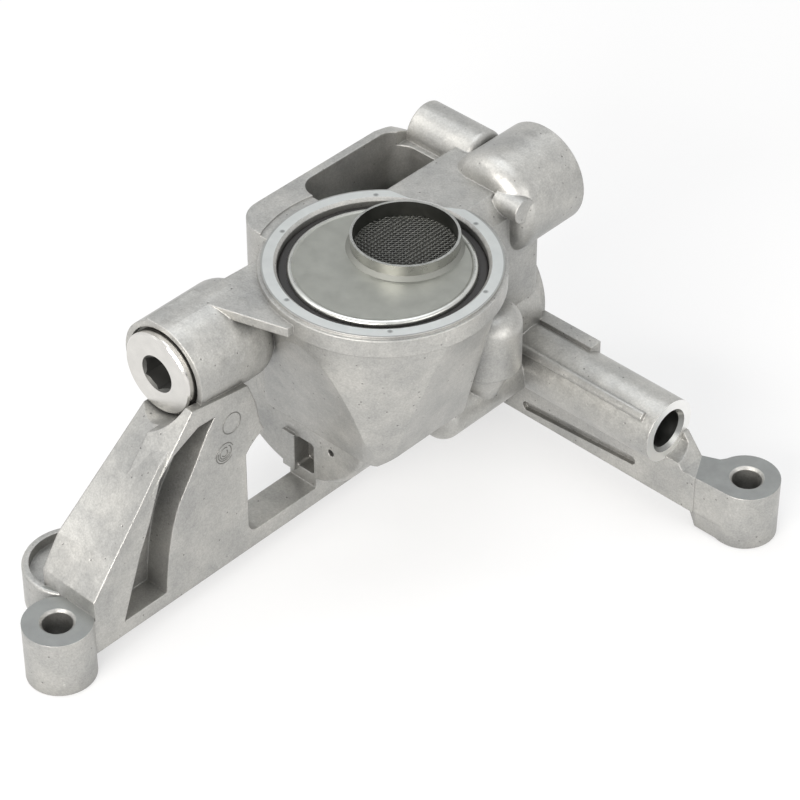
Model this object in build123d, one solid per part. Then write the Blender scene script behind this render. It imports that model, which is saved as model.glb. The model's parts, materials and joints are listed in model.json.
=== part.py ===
"""Engine oil pump: L-shaped aluminium casting with a strainer bowl on top, a rotor pump in a
round casing below it, a relief valve, a control valve and an outlet tube.

Millimetres.  The origin is the left foot's bolt hole on the seating plane, +Z points up from that plane
to the strainer, +Y runs from the left foot past the bowl to the rear cover, +X runs along the outlet tube.
"""
from build123d import *
from math import atan2, cos, degrees, pi, radians, sin, sqrt
import os

# ---------------------------------------------------------------- driving dimensions
# feet
FOOT_HEIGHT = 20.0          # bolt boss height over the seating plane
FOOT_HOLE_D = 9.0           # clearance hole for an M8 bolt
FOOT_CHAMFER = 0.8
LEFT_FOOT_D = 20.8
RIGHT_FOOT_D = 20.4
RIGHT_FOOT_X = 103.5        # hole position from the left foot's hole
RIGHT_FOOT_Y = 182.5

# left leg, a ribbed A-frame whose open face looks along +X
LEG_CLEARANCE = 6.5         # underside of the legs over the seating plane
LEG_FACE_X = 7.0
LEG_DEPTH = 11.0
RAIL_HEIGHT = 5.8
STRUT_FOOT_Y = 8.1          # sloping outer strut, lower end
STRUT_FOOT_Z = 25.7
STRUT_TOP_Y = 45.1
STRUT_TOP_Z = 71.1
STRUT_WALL = 6.5
STRUT_ROWS = (               # z, front edge y on the far side, x and y on the open side
    (8.0, 8.1, 7.0, 8.1), (25.7, 8.1, 7.0, 8.1), (35.4, 14.7, 7.0, 16.0), (48.0, 31.3, 7.0, 26.3),
    (59.0, 45.8, 6.5, 36.0), (66.0, 55.0, 2.8, 51.5))
STRUT_BACK_X = -14.5
LUG_X = -16.0               # rounded base of the strut
LUG_Y = 20.5
LUG_D = 30.0
LUG_HOLLOW = 3.2            # depth of the shallow cup in its top
WINDOW_Y = 69.1             # near end of the see-through window
PANEL_EDGE = (               # y, z of the panel's edge above the window, from the window to the barrel
    (69.1, 43.0), (70.8, 44.9), (73.3, 46.8), (76.6, 48.5), (75.1, 51.7), (73.8, 60.0), (70.9, 67.7))
POCKET_FLOOR_X = -1.5

# strainer bowl
BOWL_X = 18.0
BOWL_Y = 115.3
RIM_Z = 93.5
BAND_HEIGHT = 6.8
BOWL_FLOOR_Z = 76.0
LEDGE_DEPTH = 6.5           # seat of the rubber ring below the rim
HOPPER_FLOOR_Z = 36.5
HOPPER_FACE_X = 36.0        # bottom corner of the hopper below the bowl
HOPPER_FACE_Y = 95.3
HOPPER_LEAN = 15.5          # how far both hopper faces lean in between band and floor

# strainer
DISH_D = 55.2
SEAL_WIDTH = 2.9            # rubber ring between the dish and the bowl
SHEET = 1.0
DISH_DROP = 1.2             # top of the sheet below the rim
COLLAR_D = DISH_D - 23.0
RIM_BORE_D = DISH_D + 2 * SEAL_WIDTH
RIM_D = RIM_BORE_D + 9.0
BAND_D = RIM_D + 2.0
BOWL_BORE_D = DISH_D - 1.2
COLLAR_HEIGHT = 4.6
COLLAR_X = BOWL_X - 1.4     # the inlet collar stands off the middle of the dish
COLLAR_Y = BOWL_Y + 10.9

# rotor pump
PUMP_X = -1.0
PUMP_Z = 43.5
CASING_FRONT_Y = 97.5
SHOULDER_Y = 150.0
BACK_Y = 177.0              # joint face of the rear cover
ROTOR_D = 41.0
ROTOR_WIDTH = 26.0
ROTOR_PITCH_R = 18.5        # circle through the outer rotor's tooth centres
ROTOR_TOOTH_R = 5.4
ECCENTRICITY = 2.2
INNER_LOBES = 6
SHAFT_D = 14.0

GALLERY_X = 23.0            # oil gallery from the delivery port to the outlet tube
GALLERY_Z = 29.0
GALLERY_D = 7.0
BUSH_WALL = 2.0
BUSH_LENGTH = 18.0

# rear cover
COVER_THICK = 4.0
COVER_D = ROTOR_D + 9.0     # the joint face leaves a sealing land round the rotor chamber
SHOULDER_D = COVER_D + 5.0
CASING_D = COVER_D + 9.0
COVER_BOSS_D = 28.0
COVER_BOSS_LENGTH = 8.5
COVER_BOLTS = 5
COVER_BOLT_R = COVER_D / 2 + 2.5
COVER_BOLT_D = 6.0
COVER_LUG_D = 12.0
COVER_BOLT_DEPTH = 13.0
DOWEL_D = 3.0
DOWEL_R = COVER_D / 2 - 2.4
DOWEL_DEPTH = 6.0
DOWEL_IN_COVER = COVER_THICK - 1.0

# relief valve
RELIEF_X = -9.0
RELIEF_Z = 75.0
RELIEF_BARREL_D = 31.2
RELIEF_SEAT_Y = 55.5        # face under the plug's sealing washer
RELIEF_DOME_Y = 87.0
RELIEF_BORE_D = 16.0
RELIEF_SHOULDER_Y = 82.0
PLUG_THREAD_D = 20.0
PLUG_COLLAR_D = 26.0
PLUG_COLLAR = 3.6
PLUG_HEX = 10.0
WASHER_THICK = 1.0
RELIEF_PISTON_LENGTH = 14.0
RELIEF_CROWN = 4.5          # closed end of the piston
RELIEF_CUP_D = 11.0         # hollow of the piston and of the plug, round the spring
RELIEF_SPRING_D = 10.2
RELIEF_SPRING_SEAT = 5.5    # depth of the spring's seat in the plug
RELIEF_TRAVEL = 4.0

# control valve in the nose
NOSE_X = 14.8
NOSE_Z = 85.5
NOSE_D = 32.4
NOSE_FRONT_Y = 162.0
NOSE_END_Y = 189.5
CONTROL_BORE_D = 18.0
CONTROL_FLOOR_Y = 166.0
CONTROL_PISTON_LENGTH = 10.0
CONTROL_CROWN = 4.0         # closed end of the piston
CONTROL_CUP_D = 12.5
CONTROL_SPRING_D = 11.6
CONTROL_CAP = 4.0
CONTROL_TRAVEL = 4.0

# outlet tube and right leg
TUBE_Y = 172.3
TUBE_Z = 31.5
TUBE_D = 20.5
TUBE_BORE_D = 12.0
TUBE_END_X = 81.0
WALL_FACE_Y = 171.5
WALL_THICK = 8.0

# flange and tray on the other side of the bowl
FLANGE_X = -28.0
FLANGE_TOP_Z = 94.0
TRAY_FLOOR_Z = 66.0
TRAY_NEAR_Y = 124.0
TRAY_FAR_Y = 168.0
TRAY_WALL = 2.6

# fits
RUNNING_FIT = 0.05          # radial, rotor and shaft bearings, pistons in their bores
MESH_FIT = 0.08             # between the two rotors
SIDE_PLAY = 0.10            # rotors between their end faces
STATIC_GAP = 0.3


# ---------------------------------------------------------------- helpers
def slab_yz(points, x_from, x_to):
    """Plate from a (y, z) outline, between two values of x."""
    face = Plane.YZ.offset(x_from) * make_face(Polyline(*points, close=True))
    return extrude(face, amount=x_to - x_from)


def slab_xz(points, y_from, y_to):
    """Plate from an (x, z) outline, between two values of y."""
    plane = Plane(origin=(0, y_to, 0), x_dir=(1, 0, 0), z_dir=(0, -1, 0))
    return extrude(plane * make_face(Polyline(*points, close=True)), amount=y_to - y_from)


def slab_xy(points, z_from, z_to):
    """Plate from an (x, y) outline, between two values of z."""
    face = Plane.XY.offset(z_from) * make_face(Polyline(*points, close=True))
    return extrude(face, amount=z_to - z_from)


def box(x_from, x_to, y_from, y_to, z_from, z_to):
    size = (x_to - x_from, y_to - y_from, z_to - z_from)
    centre = ((x_from + x_to) / 2, (y_from + y_to) / 2, (z_from + z_to) / 2)
    return Pos(*centre) * Box(*size)


def rod_z(x, y, z_from, z_to, diameter):
    return Pos(x, y, (z_from + z_to) / 2) * Cylinder(diameter / 2, z_to - z_from)


def rod_y(x, z, y_from, y_to, diameter):
    return Pos(x, (y_from + y_to) / 2, z) * Rot(90, 0, 0) * Cylinder(diameter / 2, y_to - y_from)


def rod_x(y, z, x_from, x_to, diameter):
    return Pos((x_from + x_to) / 2, y, z) * Rot(0, 90, 0) * Cylinder(diameter / 2, x_to - x_from)


def hexagon_y(x, z, y_from, y_to, across_flats, turn=0.0):
    plane = Plane(origin=(x, y_to, z), x_dir=(1, 0, 0), z_dir=(0, -1, 0))
    face = plane * Rot(0, 0, turn) * RegularPolygon(across_flats / 2, 6, major_radius=False)
    return extrude(face, amount=y_to - y_from)


# ---------------------------------------------------------------- places worked out from the sizes above
BUSH_D = SHAFT_D + 2 * BUSH_WALL
CHAMBER_Y = BACK_Y - ROTOR_WIDTH - 2 * SIDE_PLAY      # floor of the rotor chamber
SEAL_SEAT_Z = RIM_Z - LEDGE_DEPTH
CIRCLIP_THICK = 1.2
CIRCLIP_Y = NOSE_END_Y - CIRCLIP_THICK - 2.3


# ---------------------------------------------------------------- housing: legs and feet
LEG_BACK_X = LEG_FACE_X - LEG_DEPTH
RAIL_TOP_Z = LEG_CLEARANCE + RAIL_HEIGHT


def foot(x, y, diameter):
    boss = rod_z(x, y, 0, FOOT_HEIGHT, diameter)
    return chamfer(boss.edges().sort_by(Axis.Z)[0], 0.6)


def foot_hole(x, y):
    hole = rod_z(x, y, -1, FOOT_HEIGHT + 1, FOOT_HOLE_D)
    rim = Pos(x, y, FOOT_HEIGHT - FOOT_CHAMFER / 2) * Cone(
        FOOT_HOLE_D / 2, FOOT_HOLE_D / 2 + FOOT_CHAMFER, FOOT_CHAMFER)
    return hole + rim


def strut_section(z, left_y, right_x, right_y):
    """Level section of the outer strut: its front edge runs from the far side to the open side."""
    return Plane.XY.offset(z) * make_face(Polyline(
        (STRUT_BACK_X, left_y), (right_x, right_y), (right_x, right_y + STRUT_WALL),
        (STRUT_BACK_X, left_y + STRUT_WALL), close=True))


def left_leg():
    """Open A-frame: outer strut, bottom rail and a panel between the strut and the window."""
    rear = CASING_FRONT_Y
    panel = slab_yz([
        (4, LEG_CLEARANCE), (WALL_FACE_Y, LEG_CLEARANCE), (WALL_FACE_Y, 30), (rear, 30),
        (rear, RAIL_TOP_Z), (WINDOW_Y, RAIL_TOP_Z), *PANEL_EDGE, (STRUT_TOP_Y + 4, STRUT_TOP_Z),
        (STRUT_FOOT_Y + 3, STRUT_FOOT_Z), (STRUT_FOOT_Y + 3, FOOT_HEIGHT - 1), (4, FOOT_HEIGHT - 1)],
        LEG_BACK_X, LEG_FACE_X)
    inner_corner = panel.edges().filter_by(Axis.X).sort_by_distance((0, WINDOW_Y, RAIL_TOP_Z))[0]
    panel = fillet(inner_corner, 4.0)
    strut = loft([strut_section(*row) for row in STRUT_ROWS], ruled=True)
    lug = rod_z(LUG_X, LUG_Y, LEG_CLEARANCE, FOOT_HEIGHT, LUG_D)
    lug = fillet(lug.edges().sort_by(Axis.Z)[-1], 0.9)
    lug -= rod_z(LUG_X, LUG_Y, FOOT_HEIGHT - LUG_HOLLOW, FOOT_HEIGHT + 1, LUG_D - 4.4)
    bridge = box(-8, LEG_FACE_X - 1, 3, 26, LEG_CLEARANCE, FOOT_HEIGHT - LUG_HOLLOW)
    return (panel + strut + lug + bridge) - leg_pocket()


def leg_pocket():
    """The curved pocket between the strut and the panel, open along +X and up to the valve barrel."""
    low = RAIL_TOP_Z - 1.0
    outline = Polyline((18.9, low), (22.4, 21.3), (26.3, 31.9), (30.9, 41.8), (35.6, 54.6), (41.5, 60),
                       (51, 64.4), (57.7, 64.2))
    outline += Spline((57.7, 64.2), (53.4, 58.3), (49.4, 51.5), (41.7, 39.4), (37.7, 26.6), (35.7, low))
    outline += Line((35.7, low), (18.9, low))
    floor_plane = Plane.YZ.offset(POCKET_FLOOR_X)
    return extrude(floor_plane * make_face(outline), amount=LEG_FACE_X + 1 - POCKET_FLOOR_X)


def right_leg():
    """Upright wall under the outlet tube, the neck and the far foot."""
    wall_back = WALL_FACE_Y + WALL_THICK
    wall_top = TUBE_Z - 4.4
    foot_r = RIGHT_FOOT_D / 2
    neck_x = RIGHT_FOOT_X - 8
    wall = slab_xz([
        (0, LEG_CLEARANCE), (RIGHT_FOOT_X - 11, LEG_CLEARANCE), (RIGHT_FOOT_X - 11, FOOT_HEIGHT),
        (TUBE_END_X + 6.5, FOOT_HEIGHT), (TUBE_END_X + 0.8, wall_top), (0, wall_top)],
        WALL_FACE_Y, wall_back)
    neck = slab_xy([
        (TUBE_END_X + 6, WALL_FACE_Y), (RIGHT_FOOT_X, RIGHT_FOOT_Y - foot_r),
        (RIGHT_FOOT_X, RIGHT_FOOT_Y + foot_r - 1), (neck_x, 188), (neck_x - 3, 183.5), (TUBE_END_X + 6, 181)],
        LEG_CLEARANCE, FOOT_HEIGHT)
    gusset = slab_xy([
        (neck_x - 7.5, 176.4), (neck_x - 2.5, 172.3), (RIGHT_FOOT_X, RIGHT_FOOT_Y - foot_r),
        (RIGHT_FOOT_X, 187), (neck_x - 1.5, 184)], 1.0, LEG_CLEARANCE + 0.5)
    fin = slab_xz([
        (74, FOOT_HEIGHT - 2), (TUBE_END_X + 6.5, FOOT_HEIGHT - 2), (TUBE_END_X + 6.5, FOOT_HEIGHT),
        (TUBE_END_X + 0.8, wall_top), (74, wall_top)], WALL_FACE_Y + 2, 181)
    corner = box(LEG_BACK_X, 16, WALL_FACE_Y - 8, wall_back, LEG_CLEARANCE, 30)
    return fin + wall + neck + gusset + corner


def right_leg_cuts():
    """The shallow groove above the bottom edge and the way in for the outlet pipe."""
    depth = WALL_FACE_Y + 1.5
    groove = slab_xz([(26, 8.8), (68, 11.4), (68, 14.6), (26, 12.0)], WALL_FACE_Y - 1, depth)
    for x, z in ((26, 10.4), (68, 13.0)):
        groove += rod_y(x, z, WALL_FACE_Y - 1, depth, 3.2)
    way_in = rod_x(TUBE_Y, TUBE_Z, TUBE_END_X, TUBE_END_X + 12, TUBE_D - 1.6)
    fin_y = TUBE_Y + TUBE_BORE_D / 2 + 0.4
    return groove + (way_in & box(70, 100, 150, fin_y, 10, 50))


def outlet_tube():
    tube = rod_x(TUBE_Y, TUBE_Z, 20, TUBE_END_X, TUBE_D)
    rail = box(24, 47, TUBE_Y + 3.5, TUBE_Y + 8, TUBE_Z, TUBE_Z + TUBE_D / 2 + 0.6)
    ridge = box(20, TUBE_END_X - 4, -TUBE_D / 2 - 1.5, 0, -1.4, 1.4)
    ridge = fillet(ridge.edges().filter_by(Axis.X).group_by(Axis.Y)[0], 0.9)
    return tube + rail + Pos(0, TUBE_Y, TUBE_Z) * Rot(-45, 0, 0) * ridge


def outlet_bore():
    """Stepped bore: narrow up to the gallery, wide from behind the rear cover to the pipe's seat."""
    start = PUMP_X + COVER_D / 2 + 4.0
    bore = rod_x(TUBE_Y, TUBE_Z, start, TUBE_END_X + 1, TUBE_BORE_D)
    throat = rod_x(TUBE_Y, TUBE_Z, GALLERY_X, start + 1, GALLERY_D)
    mouth = Pos(TUBE_END_X - 0.6, TUBE_Y, TUBE_Z) * Rot(0, 90, 0) * Cone(
        TUBE_BORE_D / 2, TUBE_BORE_D / 2 + 1.2, 1.2)
    return bore + throat + mouth


# ---------------------------------------------------------------- housing: bowl, casing and valve barrels
def bowl_body():
    """Rim, cast band and a leaning cone that two flat faces trim to a corner below the front."""
    rim = rod_z(BOWL_X, BOWL_Y, RIM_Z - 2, RIM_Z, RIM_D)
    band = rod_z(BOWL_X, BOWL_Y, RIM_Z - BAND_HEIGHT, RIM_Z - 0.9, BAND_D)
    band_low = RIM_Z - BAND_HEIGHT
    top = Pos(BOWL_X, BOWL_Y, band_low) * Circle(RIM_D / 2 - 0.6)
    bottom = Pos(BOWL_X - 7, BOWL_Y - 1, HOPPER_FLOOR_Z) * Circle(29.5)
    cone = loft([top, bottom])
    front_block = loft([
        Plane.XY.offset(band_low) * make_face(Polyline(
            (-15, HOPPER_FACE_Y - HOPPER_LEAN), (HOPPER_FACE_X + HOPPER_LEAN, HOPPER_FACE_Y - HOPPER_LEAN),
            (HOPPER_FACE_X + HOPPER_LEAN, 165), (-15, 165), close=True)),
        Plane.XY.offset(HOPPER_FLOOR_Z) * make_face(Polyline(
            (-15, HOPPER_FACE_Y), (HOPPER_FACE_X, HOPPER_FACE_Y), (HOPPER_FACE_X, 165), (-15, 165),
            close=True))])
    corner = front_block.edges().sort_by_distance((HOPPER_FACE_X + 7, HOPPER_FACE_Y - 7, 63))[0]
    front_block = fillet(corner, 8.0)
    front_block -= slab_xz([(29.9, 33.9), (45.5, 46.9), (60, 60), (60, 20), (29.9, 20)], 70, 170)
    trimmed = cone & front_block
    side = box(-15, BOWL_X, HOPPER_FACE_Y, BOWL_Y + 20, HOPPER_FLOOR_Z, band_low)
    return rim + band + trimmed + (side & front_block)


def bowl_bore():
    """Stepped bore for the strainer and its rubber ring, and the suction well below."""
    seat_z = SEAL_SEAT_Z
    mouth = rod_z(BOWL_X, BOWL_Y, seat_z, RIM_Z + 1, RIM_BORE_D)
    lead_in = Pos(BOWL_X, BOWL_Y, RIM_Z - 0.45) * Cone(RIM_BORE_D / 2, RIM_BORE_D / 2 + 0.9, 0.9)
    chamber = rod_z(BOWL_X, BOWL_Y, BOWL_FLOOR_Z, seat_z + 1, BOWL_BORE_D)
    well = rod_z(PUMP_X, BOWL_Y - 1, PUMP_Z, BOWL_FLOOR_Z + 1, 24)
    return mouth + lead_in + chamber + well


def pump_casing():
    drum = rod_y(PUMP_X, PUMP_Z, CASING_FRONT_Y, SHOULDER_Y, CASING_D)
    drum = fillet(drum.edges().group_by(Axis.Y)[0], 1.5)
    drum = fillet(drum.edges().group_by(Axis.Y)[-1], 1.5)
    shoulder = rod_y(PUMP_X, PUMP_Z, SHOULDER_Y - 6, BACK_Y, SHOULDER_D)
    gallery = rod_y(GALLERY_X + 1.5, GALLERY_Z + 1, 128, WALL_FACE_Y + 1, GALLERY_D + 9.5)
    gallery = fillet(gallery.edges().sort_by(Axis.Y)[0], 5.0)
    upper = slab_xz([
        (-9, 50), (25, 50), (25, RIM_Z - 6), (19, RIM_Z), (-5, RIM_Z), (-9, RIM_Z - 4)], 138, BACK_Y)
    upper = fillet(upper.edges().filter_by(Axis.Z), 3.0)
    notch = rod_z(0.1, BACK_Y - 1, RIM_Z - 7, RIM_Z + 1, 4)
    return drum + shoulder + gallery + (upper - notch) + side_lobe()


def side_lobe():
    """Rounded boss beside the casing, below the far side of the bowl."""
    boss = rod_z(29, 148, 44, 64, 22)
    boss = fillet(boss.edges().sort_by(Axis.Z)[-1], 6.0)
    return boss + Pos(27, 148, 36) * Cone(4, 11, 16)


def casing_face():
    """Upright rib on the casing's front end, seen through the window."""
    return box(-5.8, -0.9, CASING_FRONT_Y - 1.2, CASING_FRONT_Y + 2, 15.5, 29)


def casing_face_cuts():
    """Cored pocket beside the rib and a small drilled hole."""
    front = CASING_FRONT_Y
    pocket = box(-0.9, 6.2, front - 1, front + 5, 17, 28.5)
    pocket = fillet(pocket.edges().filter_by(Axis.Y), 1.2)
    return pocket + rod_y(13.4, 29.7, front - 1, front + 6, 2.4)


def rotor_bores():
    """Rotor chamber, its two kidney ports, the galleries and the shaft's front bearing bore."""
    floor_y = CHAMBER_Y
    centre_z = PUMP_Z + ECCENTRICITY
    chamber = rod_y(PUMP_X, centre_z, floor_y, BACK_Y + 1, ROTOR_D + 2 * RUNNING_FIT)
    ring = rod_y(PUMP_X, PUMP_Z, floor_y - 8, floor_y + 1, 35) - rod_y(
        PUMP_X, PUMP_Z, floor_y - 9, floor_y + 2, 22)
    suction = ring & box(-40, PUMP_X - 5, 100, 170, 20, 70)
    delivery = ring & box(PUMP_X + 5, 40, 100, 170, 20, 70)
    inlet = rod_y(PUMP_X - 13, PUMP_Z, BOWL_Y - 12, floor_y, 13)
    cross = rod_x(floor_y - 4.2, GALLERY_Z, PUMP_X + 9, GALLERY_X, GALLERY_D)
    along = rod_y(GALLERY_X, GALLERY_Z, floor_y - 7.7, TUBE_Y, GALLERY_D)
    bearing = rod_y(PUMP_X, PUMP_Z, floor_y - BUSH_LENGTH - 2, floor_y + 1, BUSH_D)
    return chamber + suction + delivery + inlet + cross + along + bearing


def nose():
    barrel = rod_y(NOSE_X, NOSE_Z, NOSE_FRONT_Y, NOSE_END_Y, NOSE_D)
    barrel = fillet(barrel.edges().sort_by(Axis.Y)[0], 6.0)
    barrel = chamfer(barrel.edges().sort_by(Axis.Y)[-1], 0.8)
    pad = rod_x(163.5, 91, 20, 29.5, 8)
    return barrel + pad


def nose_bore():
    """Control bore, the circlip's groove and the gallery that comes up from the delivery port."""
    bore = rod_y(NOSE_X, NOSE_Z, CONTROL_FLOOR_Y, NOSE_END_Y + 1, CONTROL_BORE_D)
    riser_y = CHAMBER_Y - 4.2
    port = rod_y(NOSE_X, NOSE_Z - 4, riser_y, CONTROL_FLOOR_Y + 1, 6)
    riser = rod_z(NOSE_X, riser_y, PUMP_Z + 2, NOSE_Z - 4, 6)
    groove = rod_y(NOSE_X, NOSE_Z, CIRCLIP_Y, CIRCLIP_Y + CIRCLIP_THICK + 0.1, CONTROL_BORE_D + 1.6)
    return bore + port + riser + groove


def relief_barrel():
    """Valve barrel with a domed end, the flat cast plate on its top and a web to the bowl."""
    barrel = rod_y(RELIEF_X, RELIEF_Z, RELIEF_SEAT_Y - 2, RELIEF_DOME_Y, RELIEF_BARREL_D)
    barrel = fillet(barrel.edges().sort_by(Axis.Y)[-1], 8.0)
    plate_z = RIM_Z - 3.0
    plate = slab_xy([
        (-15, RELIEF_SEAT_Y - 2), (-7, RELIEF_SEAT_Y - 2), (-7, 69.6), (BOWL_X - 0.5, 77), (BOWL_X, 90),
        (0, 100), (-11, 104), (-12.5, 72)], plate_z - 3.0, plate_z)
    block = box(-15, -7, RELIEF_SEAT_Y - 2, 72, RELIEF_Z, plate_z)
    web = rod_y(RELIEF_X + 4, RELIEF_Z, 84, 102, 11)
    return barrel + plate + block + web


def relief_bore():
    thread = rod_y(RELIEF_X, RELIEF_Z, RELIEF_SEAT_Y - 1, RELIEF_SEAT_Y + 9, PLUG_THREAD_D)
    bore = rod_y(RELIEF_X, RELIEF_Z, RELIEF_SEAT_Y, RELIEF_SHOULDER_Y, RELIEF_BORE_D)
    port = rod_y(RELIEF_X + 2, RELIEF_Z, RELIEF_SHOULDER_Y - 1, 112, 6)
    spot = rod_y(RELIEF_X, RELIEF_Z, 30, RELIEF_SEAT_Y, PLUG_COLLAR_D + 1.6)
    return thread + bore + port + spot


def side_flange():
    """Upright flange, its tray and the cross boss on the side away from the outlet."""
    outer = box(FLANGE_X, -4, 100, 174, 49.5, FLANGE_TOP_Z)
    outer = fillet(outer.edges().filter_by(Axis.Z).group_by(Axis.X)[0], 10.0)
    outer -= rod_z(BOWL_X, BOWL_Y, RIM_Z - 0.2, FLANGE_TOP_Z + 1, BAND_D + 3)
    outer -= box(FLANGE_X + TRAY_WALL + 1.5, 0, TRAY_FAR_Y - 5, 176, RIM_Z - 5.5, FLANGE_TOP_Z + 1)
    outer -= slab_yz([(167, 92.6), (176, 88), (176, 96), (160, 96), (160, 94)], FLANGE_X - 1, 0)
    inner = box(FLANGE_X + TRAY_WALL, 0, TRAY_NEAR_Y, TRAY_FAR_Y, TRAY_FLOOR_Z, FLANGE_TOP_Z + 2)
    inner = fillet(inner.edges().filter_by(Axis.Z).group_by(Axis.X)[0], 6.5)
    boss = rod_x(178.5, RIM_Z - 5, -24, 1, 17)
    boss = fillet(boss.edges().sort_by(Axis.X)[-1], 2.5)
    return (outer - inner) + boss


def cross_boss_bore():
    return rod_x(178.5, RIM_Z - 5, -25, -10, 8.5)


# ---------------------------------------------------------------- rear cover
def bolt_places():
    for index in range(COVER_BOLTS):
        angle = radians(60.0 + 60.0 * index)
        yield PUMP_X + COVER_BOLT_R * cos(angle), PUMP_Z + COVER_BOLT_R * sin(angle)


def lug_ring(y_from, y_to, disc_d, lug_d):
    shape = rod_y(PUMP_X, PUMP_Z, y_from, y_to, disc_d)
    for x, z in bolt_places():
        shape += rod_y(x, z, y_from, y_to, lug_d)
    return shape


def bolt_holes(y_from, y_to):
    holes = [rod_y(x, z, y_from, y_to, COVER_BOLT_D + 2 * RUNNING_FIT) for x, z in bolt_places()]
    return holes[0] + holes[1:]


def dowel_places():
    for degrees_round in (210.0, 330.0):
        angle = radians(degrees_round)
        yield PUMP_X + DOWEL_R * cos(angle), PUMP_Z + DOWEL_R * sin(angle)


def housing():
    body = left_leg() + relief_barrel() + bowl_body() + pump_casing() + casing_face()
    body += right_leg() + outlet_tube() + nose() + side_flange()
    body += lug_ring(BACK_Y - COVER_BOLT_DEPTH - 2, BACK_Y, SHOULDER_D - 1, COVER_LUG_D)
    body += foot(0, 0, LEFT_FOOT_D) + foot(RIGHT_FOOT_X, RIGHT_FOOT_Y, RIGHT_FOOT_D)
    body -= right_leg_cuts() + casing_face_cuts() + bowl_bore() + rotor_bores()
    body -= outlet_bore() + nose_bore() + relief_bore() + cross_boss_bore()
    body -= lug_ring(BACK_Y, NOSE_END_Y + 1, COVER_D + 1.2, COVER_LUG_D + 1.2)
    body -= bolt_holes(BACK_Y - COVER_BOLT_DEPTH, BACK_Y + 1)
    body -= foot_hole(0, 0) + foot_hole(RIGHT_FOOT_X, RIGHT_FOOT_Y)
    for x, z in dowel_places():
        body -= rod_y(x, z, BACK_Y - DOWEL_DEPTH, BACK_Y + 1, DOWEL_D)
    return body


# ---------------------------------------------------------------- rotors and shaft
def lobe_curve():
    """Closed outline of the inner rotor: the inner parallel of the curve that a tooth centre traces."""
    inset = ROTOR_TOOTH_R + MESH_FIT
    teeth = INNER_LOBES + 1
    count = INNER_LOBES * 14
    points = []
    for index in range(count):
        angle = 2 * pi * index / count
        along = (-ROTOR_PITCH_R * sin(angle) - ECCENTRICITY * teeth * sin(teeth * angle),
                 ROTOR_PITCH_R * cos(angle) + ECCENTRICITY * teeth * cos(teeth * angle))
        speed = sqrt(along[0] ** 2 + along[1] ** 2)
        x = ROTOR_PITCH_R * cos(angle) + ECCENTRICITY * cos(teeth * angle) - inset * along[1] / speed
        y = ROTOR_PITCH_R * sin(angle) + ECCENTRICITY * sin(teeth * angle) + inset * along[0] / speed
        points.append((x, y))
    return Spline(*points, periodic=True)


def rotor_plane(z):
    """Plane at the rotor's front end, its local x pointing up, so that the first lobe meets a tooth."""
    return Plane(origin=(PUMP_X, CHAMBER_Y + SIDE_PLAY, z), x_dir=(0, 0, 1), z_dir=(0, 1, 0))


def inner_rotor():
    body = extrude(rotor_plane(PUMP_Z) * make_face(lobe_curve()), amount=ROTOR_WIDTH)
    bore = rod_y(PUMP_X, PUMP_Z, CHAMBER_Y - 1, BACK_Y + 1, SHAFT_D)
    return body - bore - drive_key()


def outer_rotor():
    """Ring with one tooth more than the inner rotor has lobes."""
    teeth = INNER_LOBES + 1
    tip_r = ROTOR_PITCH_R + ECCENTRICITY - ROTOR_TOOTH_R
    root_r = tip_r + ECCENTRICITY + MESH_FIT
    ring = Circle(ROTOR_D / 2) - Circle(root_r)
    for index in range(teeth):
        angle = 2 * pi * index / teeth
        tooth = Pos(ROTOR_PITCH_R * cos(angle), ROTOR_PITCH_R * sin(angle)) * Circle(ROTOR_TOOTH_R)
        ring += tooth & Circle(root_r + 0.5)
    return extrude(rotor_plane(PUMP_Z + ECCENTRICITY) * ring, amount=ROTOR_WIDTH)


def drive_key():
    return box(PUMP_X - 1.5, PUMP_X + 1.5, CHAMBER_Y + 8, CHAMBER_Y + 20,
               PUMP_Z + SHAFT_D / 2 - 2, PUMP_Z + SHAFT_D / 2 + 1.5)


def drive_shaft():
    """Ground shaft with a keyway, a circlip groove at the front and a hexagon socket at the driven end."""
    front = CHAMBER_Y - BUSH_LENGTH - 1
    end = NOSE_END_Y - 1.2
    shaft = rod_y(PUMP_X, PUMP_Z, front, end, SHAFT_D)
    shaft = chamfer(shaft.edges().group_by(Axis.Y)[-1], 0.6)
    return shaft - drive_key() - hexagon_y(PUMP_X, PUMP_Z, end - 13, end + 1, 8.0)


def bush(y_from, y_to):
    outer = rod_y(PUMP_X, PUMP_Z, y_from, y_to, BUSH_D)
    return outer - rod_y(PUMP_X, PUMP_Z, y_from - 1, y_to + 1, SHAFT_D + 2 * RUNNING_FIT)


def rear_cover():
    plate = lug_ring(BACK_Y, BACK_Y + COVER_THICK, COVER_D, COVER_LUG_D)
    boss = rod_y(PUMP_X, PUMP_Z, BACK_Y, BACK_Y + COVER_THICK + COVER_BOSS_LENGTH, COVER_BOSS_D)
    boss = chamfer(boss.edges().sort_by(Axis.Y)[-1], 1.0)
    cover = plate + boss
    cover -= rod_y(PUMP_X, PUMP_Z, BACK_Y - 1, NOSE_END_Y + 1, BUSH_D)
    cover -= bolt_holes(BACK_Y - 1, BACK_Y + COVER_THICK + 1)
    for x, z in dowel_places():
        cover -= rod_y(x, z, BACK_Y - 1, BACK_Y + DOWEL_IN_COVER, DOWEL_D)
    return cover


def cover_bolts():
    """Flange-head bolts M6."""
    head_y = BACK_Y + COVER_THICK
    bolts = []
    for x, z in bolt_places():
        flange = rod_y(x, z, head_y, head_y + 1.4, 11.6)
        head = hexagon_y(x, z, head_y + 1.4, head_y + 5.2, 8.0)
        shank = rod_y(x, z, BACK_Y - COVER_BOLT_DEPTH + 1, head_y, COVER_BOLT_D)
        bolts.append(flange + head + shank)
    return Compound(bolts)


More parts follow.
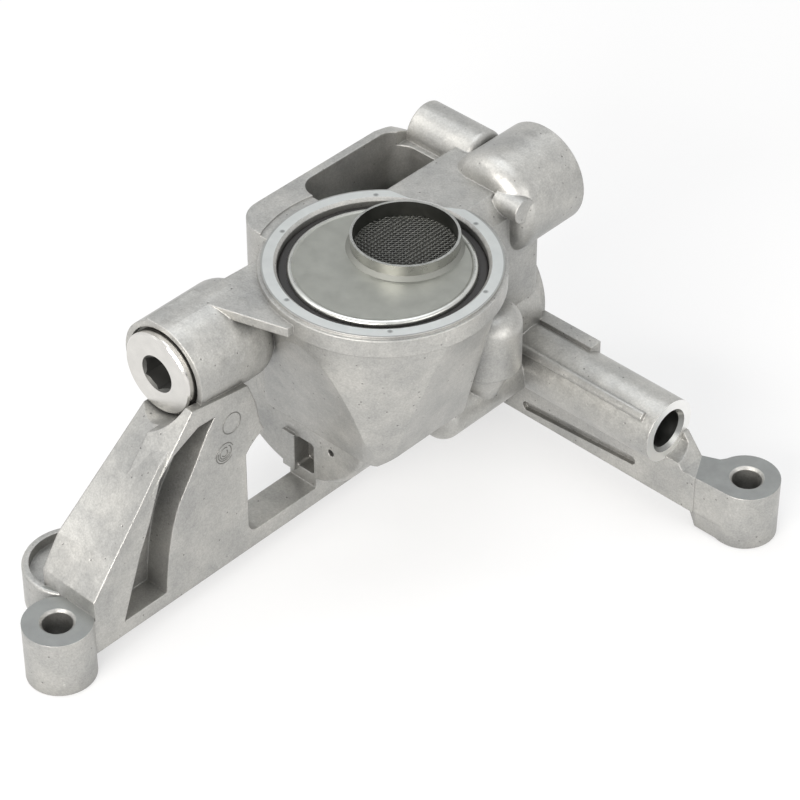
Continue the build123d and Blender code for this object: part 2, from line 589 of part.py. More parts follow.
def cover_dowels():
    end = BACK_Y + DOWEL_IN_COVER - STATIC_GAP
    pins = [rod_y(x, z, BACK_Y - DOWEL_DEPTH + STATIC_GAP, end, DOWEL_D - 2 * RUNNING_FIT)
            for x, z in dowel_places()]
    return Compound(pins)


# ---------------------------------------------------------------- valves
def coil_spring(x, z, y_from, y_to, outer_d, wire_d, turns):
    radius = (outer_d - wire_d) / 2
    length = y_to - y_from - wire_d
    path = Helix(pitch=length / turns, height=length, radius=radius)
    start = path @ 0
    section = Plane(origin=start, z_dir=path % 0) * Circle(wire_d / 2)
    coil = sweep(section, path=path, is_frenet=True)
    return Pos(x, y_to - wire_d / 2, z) * Rot(90, 0, 0) * coil


def relief_piston():
    front = RELIEF_SHOULDER_Y - STATIC_GAP
    back = front - RELIEF_PISTON_LENGTH
    body = rod_y(RELIEF_X, RELIEF_Z, back, front, RELIEF_BORE_D - 2 * RUNNING_FIT)
    body = chamfer(body.edges().sort_by(Axis.Y)[-1], 0.8)
    return body - rod_y(RELIEF_X, RELIEF_Z, back - 1, front - RELIEF_CROWN, RELIEF_CUP_D)


def relief_spring():
    start = RELIEF_SEAT_Y + RELIEF_SPRING_SEAT
    end = RELIEF_SHOULDER_Y - STATIC_GAP - RELIEF_CROWN
    return coil_spring(RELIEF_X, RELIEF_Z, start, end, RELIEF_SPRING_D, 1.5, 6)


def relief_plug():
    """Hexagon-socket screw plug with a plain collar."""
    collar_y = RELIEF_SEAT_Y - WASHER_THICK
    collar = rod_y(RELIEF_X, RELIEF_Z, collar_y - PLUG_COLLAR, collar_y, PLUG_COLLAR_D)
    collar = chamfer(collar.edges().group_by(Axis.Y)[0], 0.5)
    thread = rod_y(RELIEF_X, RELIEF_Z, collar_y, RELIEF_SEAT_Y + 8, PLUG_THREAD_D - 2 * RUNNING_FIT)
    thread = chamfer(thread.edges().sort_by(Axis.Y)[-1], 0.8)
    socket = hexagon_y(RELIEF_X, RELIEF_Z, collar_y - PLUG_COLLAR - 1, RELIEF_SEAT_Y + 3, PLUG_HEX, turn=30)
    mouth = Pos(RELIEF_X, collar_y - PLUG_COLLAR + 0.4, RELIEF_Z) * Rot(90, 0, 0) * Cone(
        PLUG_HEX / 2 + 0.2, PLUG_HEX / 2 + 1.0, 0.8)
    seat = rod_y(RELIEF_X, RELIEF_Z, RELIEF_SEAT_Y + RELIEF_SPRING_SEAT, RELIEF_SEAT_Y + 9, RELIEF_CUP_D)
    return collar + thread - socket - mouth - seat


def plug_washer():
    ring = rod_y(RELIEF_X, RELIEF_Z, RELIEF_SEAT_Y - WASHER_THICK, RELIEF_SEAT_Y, PLUG_COLLAR_D - 0.6)
    return ring - rod_y(RELIEF_X, RELIEF_Z, RELIEF_SEAT_Y - 2, RELIEF_SEAT_Y + 1, PLUG_THREAD_D + 0.2)


def control_piston():
    front = CONTROL_FLOOR_Y + STATIC_GAP
    back = front + CONTROL_PISTON_LENGTH
    body = rod_y(NOSE_X, NOSE_Z, front, back, CONTROL_BORE_D - 2 * RUNNING_FIT)
    body = chamfer(body.edges().sort_by(Axis.Y)[0], 0.8)
    waist = rod_y(NOSE_X, NOSE_Z, front + 3.5, front + 6.5, CONTROL_BORE_D + 1) - rod_y(
        NOSE_X, NOSE_Z, front + 3, front + 7, CONTROL_BORE_D - 2.4)
    return body - waist - rod_y(NOSE_X, NOSE_Z, front + CONTROL_CROWN, back + 1, CONTROL_CUP_D)


def control_spring():
    start = CONTROL_FLOOR_Y + STATIC_GAP + CONTROL_CROWN
    return coil_spring(NOSE_X, NOSE_Z, start, CIRCLIP_Y - CONTROL_CAP, CONTROL_SPRING_D, 1.4, 4)


def control_cap():
    """Spring seat that the circlip holds in the nose."""
    cap = rod_y(NOSE_X, NOSE_Z, CIRCLIP_Y - CONTROL_CAP, CIRCLIP_Y, CONTROL_BORE_D - 2 * RUNNING_FIT)
    return cap - rod_y(NOSE_X, NOSE_Z, CIRCLIP_Y - 2, CIRCLIP_Y + 1, 9)


def ring_clip(x, z, y, outer_d, inner_d, gap):
    ring = rod_y(x, z, y, y + CIRCLIP_THICK, outer_d) - rod_y(x, z, y - 1, y + 2, inner_d)
    return ring - box(x - gap / 2, x + gap / 2, y - 1, y + 2, z - outer_d, z)


def control_circlip():
    return ring_clip(NOSE_X, NOSE_Z, CIRCLIP_Y, CONTROL_BORE_D + 1.4, CONTROL_BORE_D - 3, 6)


# ---------------------------------------------------------------- strainer and outlet
DISH_TOP_Z = RIM_Z - DISH_DROP


def strainer_dish():
    """Pressed cover with a rolled edge, a skirt that stands on the ledge and an offset inlet collar."""
    sheet = rod_z(BOWL_X, BOWL_Y, DISH_TOP_Z - SHEET, DISH_TOP_Z, DISH_D - 2)
    bead = Pos(BOWL_X, BOWL_Y, DISH_TOP_Z - 0.9) * Torus(DISH_D / 2 - 1.2, 1.2)
    skirt = rod_z(BOWL_X, BOWL_Y, SEAL_SEAT_Z, DISH_TOP_Z - 1, DISH_D - 0.2) - rod_z(
        BOWL_X, BOWL_Y, SEAL_SEAT_Z - 1, DISH_TOP_Z, DISH_D - 2 * SHEET)
    collar_top = RIM_Z + COLLAR_HEIGHT - DISH_DROP
    flare = Pos(COLLAR_X, COLLAR_Y, DISH_TOP_Z + 0.6) * Cone(COLLAR_D / 2 + 1.2, COLLAR_D / 2, 1.2)
    collar = rod_z(COLLAR_X, COLLAR_Y, DISH_TOP_Z - 4, collar_top, COLLAR_D)
    inside = rod_z(COLLAR_X, COLLAR_Y, DISH_TOP_Z - 5, collar_top + 1, COLLAR_D - 1.6)
    disc = rod_z(BOWL_X, BOWL_Y, SEAL_SEAT_Z, collar_top + 1, DISH_D)
    return (sheet + bead + skirt + (flare & disc) + collar) - inside


def mesh_ring():
    """Rolled ring that grips the gauze inside the collar."""
    z = DISH_TOP_Z - 2.4
    ring = rod_z(COLLAR_X, COLLAR_Y, z, z + 1.8, COLLAR_D - 1.6)
    return ring - rod_z(COLLAR_X, COLLAR_Y, z - 1, z + 3, COLLAR_D - 4.2)


def strainer_mesh():
    z = DISH_TOP_Z - 0.6
    return rod_z(COLLAR_X, COLLAR_Y, z, z + 0.6, COLLAR_D - 1.8)


def strainer_seal():
    """Square-section rubber ring between the skirt and the bowl."""
    top = DISH_TOP_Z - 1.3
    ring = rod_z(BOWL_X, BOWL_Y, SEAL_SEAT_Z, top, RIM_BORE_D - 0.1)
    ring = fillet(ring.edges().sort_by(Axis.Z)[-1], 0.8)
    return ring - rod_z(BOWL_X, BOWL_Y, SEAL_SEAT_Z - 1, top + 1, DISH_D)


def write(name, shape):
    export_step(shape, f"parts/{name}.step")


if __name__ == "__main__":
    os.makedirs("parts", exist_ok=True)
    write("housing", housing())
    write("rear_cover", rear_cover())
    write("cover_bolts", cover_bolts())
    write("cover_dowels", cover_dowels())
    write("drive_shaft", drive_shaft())
    write("drive_key", drive_key())
    write("inner_rotor", inner_rotor())
    write("outer_rotor", outer_rotor())
    write("front_bush", bush(CHAMBER_Y - BUSH_LENGTH, CHAMBER_Y))
    write("rear_bush", bush(BACK_Y, BACK_Y + COVER_THICK + COVER_BOSS_LENGTH - 1))
    write("relief_piston", relief_piston())
    write("relief_spring", relief_spring())
    write("relief_plug", relief_plug())
    write("plug_washer", plug_washer())
    write("control_piston", control_piston())
    write("control_spring", control_spring())
    write("control_cap", control_cap())
    write("control_circlip", control_circlip())
    write("strainer_dish", strainer_dish())
    write("mesh_ring", mesh_ring())
    write("strainer_mesh", strainer_mesh())
    write("strainer_seal", strainer_seal())
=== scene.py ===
"""Looks of the engine oil pump: die-cast aluminium body with machined faces, bright zinc-plated screw
plug, pressed steel strainer dish with a woven wire gauze, black rubber seal."""
import json
from math import cos, pi, radians, sin, sqrt, tau
import bpy
from mathutils import Matrix, Vector


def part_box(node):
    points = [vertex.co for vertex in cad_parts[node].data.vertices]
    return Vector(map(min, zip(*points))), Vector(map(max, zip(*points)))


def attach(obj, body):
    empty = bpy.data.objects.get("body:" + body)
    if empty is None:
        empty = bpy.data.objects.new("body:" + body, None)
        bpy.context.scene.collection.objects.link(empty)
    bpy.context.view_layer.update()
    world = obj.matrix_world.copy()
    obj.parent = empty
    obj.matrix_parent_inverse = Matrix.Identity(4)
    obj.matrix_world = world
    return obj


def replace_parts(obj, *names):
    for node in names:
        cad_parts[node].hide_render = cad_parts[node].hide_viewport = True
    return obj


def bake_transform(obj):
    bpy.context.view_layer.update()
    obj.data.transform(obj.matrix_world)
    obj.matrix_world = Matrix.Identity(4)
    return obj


MM = 0.001

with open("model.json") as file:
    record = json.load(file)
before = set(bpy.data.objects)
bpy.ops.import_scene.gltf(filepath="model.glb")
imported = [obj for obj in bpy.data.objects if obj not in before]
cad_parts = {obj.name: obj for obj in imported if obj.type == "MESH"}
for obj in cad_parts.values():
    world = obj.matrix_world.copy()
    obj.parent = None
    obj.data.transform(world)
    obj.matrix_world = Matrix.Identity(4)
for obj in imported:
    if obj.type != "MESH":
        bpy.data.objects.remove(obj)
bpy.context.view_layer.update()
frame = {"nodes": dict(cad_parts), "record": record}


def centre(node):
    """Middle of a node's box."""
    low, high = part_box(node)
    return (Vector(low) + Vector(high)) / 2


# places on the pump, in metres
dish = centre("strainer_dish")
gauze = centre("strainer_mesh")
plug = centre("relief_plug")
bowl_axis = Vector((dish.x, dish.y, 0.0))
DISH_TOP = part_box("strainer_seal")[1][2] + 1.3 * MM
COLLAR_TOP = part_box("strainer_dish")[1][2]
LIP_Z = COLLAR_TOP - 0.4 * MM
COLLAR_FOOT_Z = COLLAR_TOP - 2.6 * MM
RIM_Z = COLLAR_TOP - 3.4 * MM
FOOT_TOP = 20.0 * MM
LEFT_FOOT = Vector((0, 0, 0))
RIGHT_FOOT = Vector((103.5, 182.5, 0)) * MM
TUBE_END = Vector((81.0, 172.3, 31.5)) * MM
NOSE_END = Vector((14.8, 189.5, 85.5)) * MM
PANEL_X = 7.0 * MM
TRAY_FLOOR = 66.0 * MM

# radii of the faces that have their own finish
RIM_R = 34.4 * MM
STAKE_CIRCLE_R = 32.4 * MM
FOOT_R = 15.0 * MM
TUBE_R = 11.0 * MM
TUBE_BORE_R = 7.6 * MM
EDGE_ROLL_R = 26.3 * MM
COLLAR_BORE_R = 15.9 * MM
COLLAR_FOOT_R = 20.0 * MM
SOCKET_R = 6.3 * MM

# fine detail: pitch of the turned rings, angle of the first stake mark in degrees, line of the die marks
RING_PITCH = 0.5 * MM
FIRST_STAKE = 17.0
MARK_WIRE = 0.36 * MM


# ---------------------------------------------------------------- shader helpers
def srgb(code):
    """Linear colour from an sRGB hex code."""
    parts = [int(code[i:i + 2], 16) / 255 for i in (1, 3, 5)]
    return [p / 12.92 if p <= 0.04045 else ((p + 0.055) / 1.055) ** 2.4 for p in parts] + [1.0]


def add(tree, kind, settings=None, **inputs):
    """Adds a shader node. Settings are its properties; an input is a value or another node's output."""
    node = tree.nodes.new(kind)
    for name, value in (settings or {}).items():
        setattr(node, name, value)
    for name, value in inputs.items():
        key = int(name[1:]) if name[0] == "_" else name.replace("_", " ")
        if isinstance(value, bpy.types.NodeSocket):
            tree.links.new(value, node.inputs[key])
        else:
            node.inputs[key].default_value = value
    return node


def new_material(name, metallic, roughness):
    """Material with one Principled shader, given back with its node tree and that shader."""
    material = bpy.data.materials.new(name)
    material.use_nodes = True
    tree = material.node_tree
    shader = tree.nodes["Principled BSDF"]
    shader.inputs["Metallic"].default_value = metallic
    shader.inputs["Roughness"].default_value = roughness
    return material, tree, shader


def noise(tree, place, size, detail, roughness=0.6):
    """Cloud pattern whose blotches are about as wide as the given size."""
    return add(tree, "ShaderNodeTexNoise", Vector=place, Scale=1 / size, Detail=detail,
               Roughness=roughness).outputs["Fac"]


def spread(tree, value, low, high, to_low, to_high):
    """Maps a value from one range onto another, held at its ends."""
    return add(tree, "ShaderNodeMapRange", Value=value, From_Min=low, From_Max=high,
               To_Min=to_low, To_Max=to_high).outputs["Result"]


def compute(tree, operation, first, second=0.0):
    """One step of arithmetic on two values."""
    return add(tree, "ShaderNodeMath", {"operation": operation}, _0=first, _1=second).outputs["Value"]


def scaled(tree, colour, factor):
    """The colour made lighter or darker by a factor."""
    return add(tree, "ShaderNodeVectorMath", {"operation": "SCALE"}, _0=colour,
               Scale=factor).outputs["Vector"]


def blend(tree, factor, first, second):
    """The first colour where the factor is 0, and the second where it is 1."""
    return add(tree, "ShaderNodeMix", {"data_type": "RGBA"}, Factor=factor, _6=first,
               _7=second).outputs[2]


# ---------------------------------------------------------------- materials
def die_cast_aluminium():
    """Aluminium as it leaves the die: light warm grey, satin and slightly uneven, with cloudy flow
    marks, a fine grain, bright scuffs, scattered dark pits, lighter edges and painted shade in the inner
    corners."""
    material, tree, shader = new_material("die-cast aluminium", 0.8, 0.5)
    place = add(tree, "ShaderNodeTexCoord").outputs["Object"]
    clouds = noise(tree, place, 16 * MM, 4.0)
    mottle = noise(tree, place, 2.6 * MM, 5.0, 0.65)
    grain = noise(tree, place, 0.6 * MM, 3.0, 0.7)
    tone = blend(tree, spread(tree, clouds, 0.34, 0.66, 0.0, 1.0), srgb("#a2a2a0"), srgb("#b8b7b3"))
    tone = scaled(tree, tone, spread(tree, mottle, 0.3, 0.7, 0.93, 1.05))
    tone = scaled(tree, tone, spread(tree, grain, 0.3, 0.7, 0.84, 1.12))
    scratches = spread(tree, noise(tree, place, 1.1 * MM, 6.0, 0.7), 0.56, 0.7, 0.0, 1.0)
    rubbed = spread(tree, noise(tree, place, 11 * MM, 2.0), 0.5, 0.62, 0.0, 1.0)
    scuffs = compute(tree, "MULTIPLY", scratches, rubbed)
    tone = scaled(tree, tone, spread(tree, scuffs, 0.0, 1.0, 1.0, 1.22))
    cells = add(tree, "ShaderNodeTexVoronoi", Vector=place, Scale=1 / (3.8 * MM))
    pits = spread(tree, cells.outputs["Distance"], 0.05, 0.1, 0.0, 1.0)
    tone = scaled(tree, tone, spread(tree, pits, 0.0, 1.0, 0.5, 1.0))
    # painted shade: ambient occlusion darkens the tone in the inner corners and recesses, to half at most
    corners = add(tree, "ShaderNodeAmbientOcclusion", {"samples": 8}, Distance=14 * MM)
    tone = scaled(tree, tone, spread(tree, corners.outputs["AO"], 0.05, 0.85, 0.5, 1.0))
    edge = add(tree, "ShaderNodeBevel", {"samples": 6}, Radius=0.6 * MM)
    face = add(tree, "ShaderNodeNewGeometry").outputs["Normal"]
    same = add(tree, "ShaderNodeVectorMath", {"operation": "DOT_PRODUCT"},
               _0=edge.outputs["Normal"], _1=face)
    # the tone is up to 6 % lighter where the rounded-edge normal parts from the face's own
    tone = scaled(tree, tone, spread(tree, same.outputs["Value"], 0.8, 0.99, 1.06, 1.0))
    tree.links.new(tone, shader.inputs["Base Color"])
    tree.links.new(spread(tree, mottle, 0.3, 0.7, 0.38, 0.47), shader.inputs["Roughness"])
    swell = noise(tree, place, 8 * MM, 2.0)
    waves = add(tree, "ShaderNodeBump", Strength=0.5, Distance=0.5 * MM, Height=swell,
                Normal=edge.outputs["Normal"])
    coarse = add(tree, "ShaderNodeBump", Strength=0.6, Distance=0.16 * MM, Height=mottle,
                 Normal=waves.outputs["Normal"])
    dotted = add(tree, "ShaderNodeBump", Strength=0.6, Distance=0.15 * MM, Height=pits,
                 Normal=coarse.outputs["Normal"])
    fine = add(tree, "ShaderNodeBump", Strength=0.6, Distance=0.06 * MM, Height=grain,
               Normal=dotted.outputs["Normal"])
    tree.links.new(fine.outputs["Normal"], shader.inputs["Normal"])
    return material


def turned_metal(name, dark, light, gloss, axis_point, axis, stakes=0, reach=1.0):
    """Face turned or milled round an axis: smoother than the casting, with fine rings that are drawn
    coarser than a real feed, so that they show. Stakes are small punch marks in the rim, at even
    angles round it, bumped and darkened as painted shade in each dent, and past the reach the face is left
    as cast."""
    material, tree, shader = new_material(name, 0.9, gloss)
    place = add(tree, "ShaderNodeTexCoord").outputs["Object"]
    offset = add(tree, "ShaderNodeVectorMath", {"operation": "SUBTRACT"}, _0=place, _1=axis_point)
    flat = [0.0 if a else 1.0 for a in axis]
    across = add(tree, "ShaderNodeVectorMath", {"operation": "MULTIPLY"},
                 _0=offset.outputs["Vector"], _1=flat)
    radius = add(tree, "ShaderNodeVectorMath", {"operation": "LENGTH"}, _0=across.outputs["Vector"])
    ring = compute(tree, "SINE", compute(tree, "MULTIPLY", radius.outputs["Value"], tau / RING_PITCH))
    tone = blend(tree, noise(tree, place, 5 * MM, 4.0), srgb(dark), srgb(light))
    height = compute(tree, "MULTIPLY", ring, 0.5)
    tone = blend(tree, spread(tree, radius.outputs["Value"], reach, reach + 0.2 * MM, 0.0, 1.0),
                 tone, srgb("#a9aaa8"))
    for index in range(stakes):
        angle = radians(FIRST_STAKE + 360.0 / stakes * index)
        mark = Vector(axis_point) + Vector((cos(angle), sin(angle), 0)) * STAKE_CIRCLE_R
        gap = add(tree, "ShaderNodeVectorMath", {"operation": "DISTANCE"}, _0=place,
                  _1=(mark.x, mark.y, RIM_Z)).outputs["Value"]
        dent_and_painted_shade = spread(tree, gap, 0.4 * MM, 1.0 * MM, 0.0, 1.0)
        # painted shade: the tone darkens to 45 % in the middle of each punch mark
        tone = scaled(tree, tone, spread(tree, dent_and_painted_shade, 0.0, 1.0, 0.45, 1.0))
        height = compute(tree, "ADD", height, compute(tree, "MULTIPLY", dent_and_painted_shade, 6.0))
    tree.links.new(tone, shader.inputs["Base Color"])
    bump = add(tree, "ShaderNodeBump", Strength=0.4, Distance=0.02 * MM, Height=height)
    tree.links.new(bump.outputs["Normal"], shader.inputs["Normal"])
    return material


def plain_metal(name, colour, roughness, blur=0.0):
    """Metal of one colour whose tone and gloss vary a little, as on a handled part."""
    material, tree, shader = new_material(name, 1.0, roughness)
    place = add(tree, "ShaderNodeTexCoord").outputs["Object"]
    wear = noise(tree, place, 4 * MM, 5.0)
    even = add(tree, "ShaderNodeRGB").outputs["Color"]
    even.default_value = srgb(colour)
    tone = scaled(tree, even, spread(tree, wear, 0.3, 0.7, 0.95, 1.05))
    gloss = spread(tree, wear, 0.3, 0.7, roughness - blur, roughness + blur)
    tree.links.new(tone, shader.inputs["Base Color"])
    tree.links.new(gloss, shader.inputs["Roughness"])
    return material


def nitrile_rubber():
    """Moulded black nitrile rubber: nearly black, matt, with a soft sheen."""
    material, _, shader = new_material("moulded nitrile rubber", 0.0, 0.5)
    shader.inputs["Base Color"].default_value = srgb("#1f1d1c")
    shader.inputs["IOR"].default_value = 1.52
    return material


finishes = {
    "cast_aluminium": die_cast_aluminium(),
    "zinc_steel": plain_metal("zinc-plated steel, bright", "#d6d4d0", 0.2, 0.05),
    "ground_steel": plain_metal("ground steel", "#b4b6b8", 0.22, 0.05),
    "sintered_steel": plain_metal("sintered steel", "#7c7c7b", 0.42, 0.06),
    "bush_bronze": plain_metal("bearing bronze", "#b3925c", 0.35, 0.06),
    "spring_steel": plain_metal("oiled spring steel", "#6c6b6b", 0.32, 0.06),
    "washer_aluminium": plain_metal("soft aluminium washer", "#c6c6c4", 0.35, 0.05),
    "sheet_steel": plain_metal("pressed steel sheet, dull", "#9b9c96", 0.44, 0.03),
    "woven_steel": plain_metal("woven steel wire", "#62625f", 0.36, 0.05),
    "black_rubber": nitrile_rubber(),
}
for part in frame["record"]["subparts"]:
    mesh = frame["nodes"][part["node"]].data
    mesh.materials.clear()
    mesh.materials.append(finishes[part["material_slot"]])


# ---------------------------------------------------------------- faces with their own finish
def finish_faces(node, material, wanted):
    """Gives the node's faces that pass the test, on centre and normal, another finish."""
    mesh = frame["nodes"][node].data
    mesh.materials.append(material)
    index = len(mesh.materials) - 1
    for face in mesh.polygons:
        if wanted(face.center, face.normal):
            face.material_index = index


def near(value, target, within=0.06 * MM):
    """Whether two lengths are the same, but for rounding."""
    return abs(value - target) < within


# tests of a face by its centre c and normal n
def on_rim(c, n):
    return near(c.z, RIM_Z) and n.z > 0.9 and (c.xy - bowl_axis.xy).length < RIM_R + 0.8 * MM


def on_tube_end(c, n):
    return n.x > 0.95 and near(c.x, TUBE_END.x) and (c - TUBE_END).length < TUBE_R


def in_tube_bore(c, n):
    return c.x > 28 * MM and (c.yz - TUBE_END.yz).length < TUBE_BORE_R and n.x < 0.95


def on_nose_end(c, n):
    return n.y > 0.6 and near(c.y, NOSE_END.y, 0.9 * MM)


def on_rolled_edge(c, n):
    """The dish's own edge and the lip of its collar."""
    return (c.xy - dish.xy).length > EDGE_ROLL_R or c.z > LIP_Z


def on_collar(c, n):
    return DISH_TOP + 0.1 * MM < c.z < LIP_Z and n.z < 0.3


def on_collar_foot(c, n):
    """The round corner where the collar rises from the dish."""
    near_collar = (c.xy - gauze.xy).length < COLLAR_FOOT_R
    return 0.1 < n.z < 0.97 and near_collar and c.z < COLLAR_FOOT_Z


def in_collar(c, n):
    outward = c.xy - gauze.xy
    faces_inward = abs(n.z) < 0.5 and n.xy.dot(outward) < 0
    return faces_inward and outward.length < COLLAR_BORE_R and c.z < COLLAR_TOP - 0.5 * MM


def in_socket(c, n):
    return (c.xz - plug.xz).length < SOCKET_R


def finish_foot(name, foot):
    """Milled top and underside of a foot, toned darker than the rim as a painted dark reflection."""
    def on_foot(c, n):
        level = near(c.z, FOOT_TOP) or near(c.z, 0.0)
        return level and abs(n.z) > 0.9 and (c.xy - foot.xy).length < FOOT_R
    # painted reflection: the milled faces are toned darker than the turned rim, for the dark surroundings
    # they mirror
    milled = turned_metal("milled top of the " + name + " foot", "#888a89", "#a2a4a2", 0.36,
                          foot, (0, 0, 1))
    finish_faces("housing", milled, on_foot)


turned_rim = turned_metal("turned rim", "#c8cbca", "#dee1df", 0.36, bowl_axis, (0, 0, 1),
                          stakes=6, reach=RIM_R)
finish_faces("housing", turned_rim, on_rim)
finish_foot("left", LEFT_FOOT)
finish_foot("right", RIGHT_FOOT)
faced_tube = turned_metal("faced end of the tube", "#f0f0ee", "#fafaf8", 0.36, TUBE_END, (1, 0, 0))
finish_faces("housing", faced_tube, on_tube_end)
finish_faces("housing", plain_metal("reamed bore", "#8e8f8d", 0.34, 0.05), in_tube_bore)
faced_nose = turned_metal("faced end of the nose", "#b4b7b6", "#cfd1d0", 0.3, NOSE_END, (0, 1, 0))
finish_faces("housing", faced_nose, on_nose_end)
finish_faces("rear_cover", faced_nose, on_nose_end)
for finish, wanted in (
        # the rolled edge and the collar's lip are toned lighter and glossier than the sheet
        (plain_metal("rolled edge, lighter and glossier", "#c2c3bf", 0.3, 0.05), on_rolled_edge),
        (plain_metal("drawn collar", "#acaca8", 0.3, 0.06), on_collar),
        # painted shade: the round corner at the foot of the collar is toned darker
        (plain_metal("foot of the collar, painted shade", "#83847f", 0.5, 0.05), on_collar_foot),
        # painted shade: the inside wall of the collar is toned dark
        (plain_metal("inside of the collar, painted shade", "#5f605c", 0.4, 0.05), in_collar)):
    finish_faces("strainer_dish", finish, wanted)
# painted shade: the faces inside the hex socket are toned dark
finish_faces("relief_plug", plain_metal("broached socket, painted shade", "#5e5e5c", 0.62, 0.05), in_socket)


# ---------------------------------------------------------------- wire and woven gauze
def wire_object(name, lines, wire, slot):
    """Round wire along lines of points, on the casing."""
    curve = bpy.data.curves.new(name, "CURVE")
    curve.dimensions = "3D"
    curve.bevel_depth = wire / 2
    curve.bevel_resolution = 1
    for points in lines:
        spline = curve.splines.new("POLY")
        spline.points.add(len(points) - 1)
        for point, place in zip(spline.points, points):
            point.co = (*place, 1)
    obj = bpy.data.objects.new(name, curve)
    bpy.context.scene.collection.objects.link(obj)
    curve.materials.append(finishes[slot])
    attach(obj, "casing")
    return obj


def gauze_lines():
    """Plain weave at 45 degrees, clipped to the collar."""
    pitch, wire, reach = 0.95 * MM, 0.34 * MM, 15.2 * MM
    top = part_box("strainer_mesh")[1][2] - 0.3 * MM
    count = int(reach / pitch)
    for way in (0, 1):
        for row in range(-count, count + 1):
            offset = row * pitch
            half = sqrt(reach ** 2 - offset ** 2)
            steps = int(2 * half / (pitch / 3)) + 1
            line = []
            for i in range(steps + 1):
                along = -half + 2 * half * i / steps
                lift = wire * 0.42 * cos(pi * along / pitch) * (1 if (row + way) % 2 else -1)
                u, v = (along, offset) if way else (offset, along)
                line.append((gauze.x + (u - v) / sqrt(2), gauze.y + (u + v) / sqrt(2), top + lift))
            yield line


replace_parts(wire_object("gauze", gauze_lines(), 0.34 * MM, "woven_steel"), "strainer_mesh")


# ---------------------------------------------------------------- springs, copied from their parts
def shorten(node):
    """A copy of the spring's mesh in its own object, shown in place of the part."""
    rest = frame["nodes"][node]
    mesh = rest.data.copy()
    mesh.transform(rest.matrix_world)
    spring = bpy.data.objects.new(node + "_coils", mesh)
    bpy.context.scene.collection.objects.link(spring)
    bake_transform(spring)
    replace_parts(spring, node)


shorten("relief_spring")
shorten("control_spring")


# ---------------------------------------------------------------- marks of the die
def arc(middle, first, second, radius, start, sweep):
    """Points of an arc in the plane of two axes, angles in degrees."""
    steps = max(int(abs(sweep) / 12), 2)
    turns = [radians(start + sweep * i / steps) for i in range(steps + 1)]
    return [Vector(middle) + (Vector(first) * cos(t) + Vector(second) * sin(t)) * radius for t in turns]


def die_marks():
    """Ring left by an ejector pin on the leg, a worn bare round stamp below it, and a pin ring on the
    floor of the flange's tray."""
    y, z = (0, 1, 0), (0, 0, 1)
    panel = PANEL_X - 0.02 * MM
    pin = Vector((panel, 64.0 * MM, 58.1 * MM))
    stamp = Vector((panel, 60.8 * MM, 48.8 * MM))
    lines = [arc(pin, y, z, 3.5 * MM, 0, 360)]
    for radius, start, sweep in ((3.4, 20, 300), (2.6, 160, 250), (1.9, 60, 280), (1.1, 200, 200)):
        lines.append(arc(stamp, y, z, radius * MM, start, sweep))
    tray = Vector((-16.2 * MM, 148.0 * MM, TRAY_FLOOR))
    lines.append(arc(tray, (1, 0, 0), y, 3.2 * MM, 0, 360))
    return lines


marks = wire_object("die_marks", die_marks(), MARK_WIRE, "cast_aluminium")
# painted shade: the rings of the die marks are toned darker than the casting
marks.data.materials[0] = plain_metal("die marks, painted shade", "#80807d", 0.5)


# ---------------------------------------------------------------- floor, lights, camera
def plane_object(name, corners, material):
    """Flat sheet with four corners."""
    mesh = bpy.data.meshes.new(name)
    mesh.from_pydata(corners, [], [(0, 1, 2, 3)])
    mesh.materials.append(material)
    obj = bpy.data.objects.new(name, mesh)
    bpy.context.scene.collection.objects.link(obj)
    return obj


def floor():
    """Pale floor that shows white to the camera and keeps the soft shadow."""
    material, tree, shader = new_material("matt white paper", 0.0, 0.9)
    shader.inputs["Base Color"].default_value = srgb("#f4f4f4")
    light = add(tree, "ShaderNodeEmission", Color=srgb("#ffffff"), Strength=1.0)
    path = add(tree, "ShaderNodeLightPath")
    seen = compute(tree, "MAXIMUM", path.outputs["Is Camera Ray"], path.outputs["Is Glossy Ray"])
    mix = add(tree, "ShaderNodeMixShader", _0=compute(tree, "MULTIPLY", seen, 0.6),
              _1=shader.outputs["BSDF"], _2=light.outputs["Emission"])
    tree.links.new(mix.outputs["Shader"], tree.nodes["Material Output"].inputs["Surface"])
    return plane_object("floor", [(-6, -6, 0), (6, -6, 0), (6, 6, 0), (-6, 6, 0)], material)


def aimed(obj, place, aim):
    """Puts an object in place and turns its -Z to the aim."""
    obj.location = place
    obj.rotation_euler = (Vector(aim) - Vector(place)).to_track_quat("-Z", "Y").to_euler()
    return obj


def soft_box(name, place, aim, width, height, power, colour):
    """Rectangular lamp that looks at a point."""
    lamp = bpy.data.lights.new(name, "AREA")
    lamp.shape = "RECTANGLE"
    lamp.size, lamp.size_y, lamp.energy = width, height, power
    lamp.color = srgb(colour)[:3]
    obj = bpy.data.objects.new(name, lamp)
    bpy.context.scene.collection.objects.link(obj)
    return aimed(obj, place, aim)


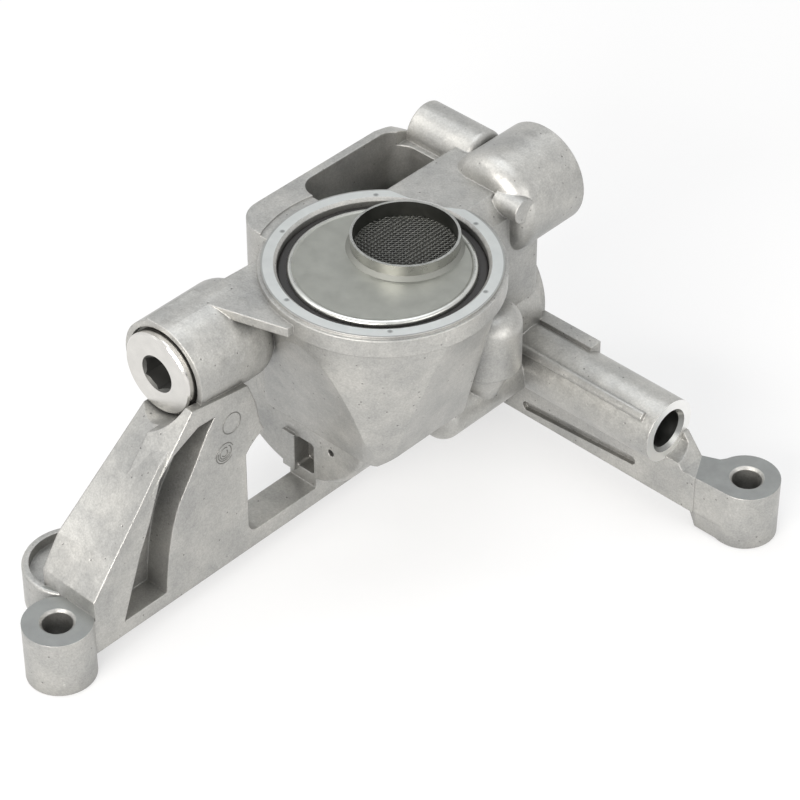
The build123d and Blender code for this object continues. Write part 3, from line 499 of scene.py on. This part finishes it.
def flag(name, place, aim, width, height, colour):
    """Card out of view that bright metal mirrors, and that shades nothing."""
    material, _, shader = new_material(name + " card", 0.0, 0.9)
    shader.inputs["Base Color"].default_value = srgb(colour)
    x, y = width / 2, height / 2
    card = plane_object(name, [(-x, -y, 0), (x, -y, 0), (x, y, 0), (-x, y, 0)], material)
    card.visible_shadow = False
    card.visible_diffuse = False
    return aimed(card, place, aim)


def studio_world():
    """White surroundings for the camera and in reflections, dimmer as light."""
    world = bpy.data.worlds.new("studio")
    world.use_nodes = True
    tree = world.node_tree
    path = add(tree, "ShaderNodeLightPath").outputs
    seen = compute(tree, "MAXIMUM", path["Is Camera Ray"], path["Is Transmission Ray"])
    seen = compute(tree, "MAXIMUM", seen, path["Is Glossy Ray"])
    back = tree.nodes["Background"]
    back.inputs["Color"].default_value = srgb("#ffffff")
    tree.links.new(spread(tree, seen, 0.0, 1.0, 0.46, 1.0), back.inputs["Strength"])
    bpy.context.scene.world = world


def view_camera():
    """Camera 43 degrees round and 39.5 degrees up, with a 144 mm lens."""
    azimuth, elevation = radians(43.2), radians(39.5)
    place = Vector((521.8, -414.0, 644.4)) * MM
    right = Vector((cos(azimuth), sin(azimuth), 0))
    back = Vector((sin(azimuth) * cos(elevation), -cos(azimuth) * cos(elevation), sin(elevation)))
    data = bpy.data.cameras.new("camera")
    data.lens, data.sensor_width = 144.0, 36.0
    obj = bpy.data.objects.new("camera", data)
    turn = Matrix((right, back.cross(right), back)).transposed().to_4x4()
    obj.matrix_world = Matrix.Translation(place) @ turn
    bpy.context.scene.collection.objects.link(obj)
    bpy.context.scene.camera = obj


# point of the pump that the lamps and cards face
middle = (0.03, 0.1, 0.05)
floor()
soft_box("front", (0.35, -1.1, 0.6), middle, 0.9, 0.6, 20, "#fffbf6")
soft_box("left", (-0.55, -0.35, 0.87), middle, 0.2, 0.6, 2, "#fffdfa")
soft_box("side", (1.2, 0.15, 0.5), middle, 0.8, 0.7, 5, "#fffdfa")
soft_box("top", (-0.2, 0.3, 1.3), middle, 0.9, 0.9, 5, "#f6faff")
flag("far", (-0.8, 0.85, 0.9), middle, 0.9, 0.55, "#acaeb0")
flag("low", (1.1, 1.2, 0.22), middle, 1.6, 0.16, "#202020")
studio_world()
view_camera()
bpy.context.scene.view_settings.view_transform = "Standard"
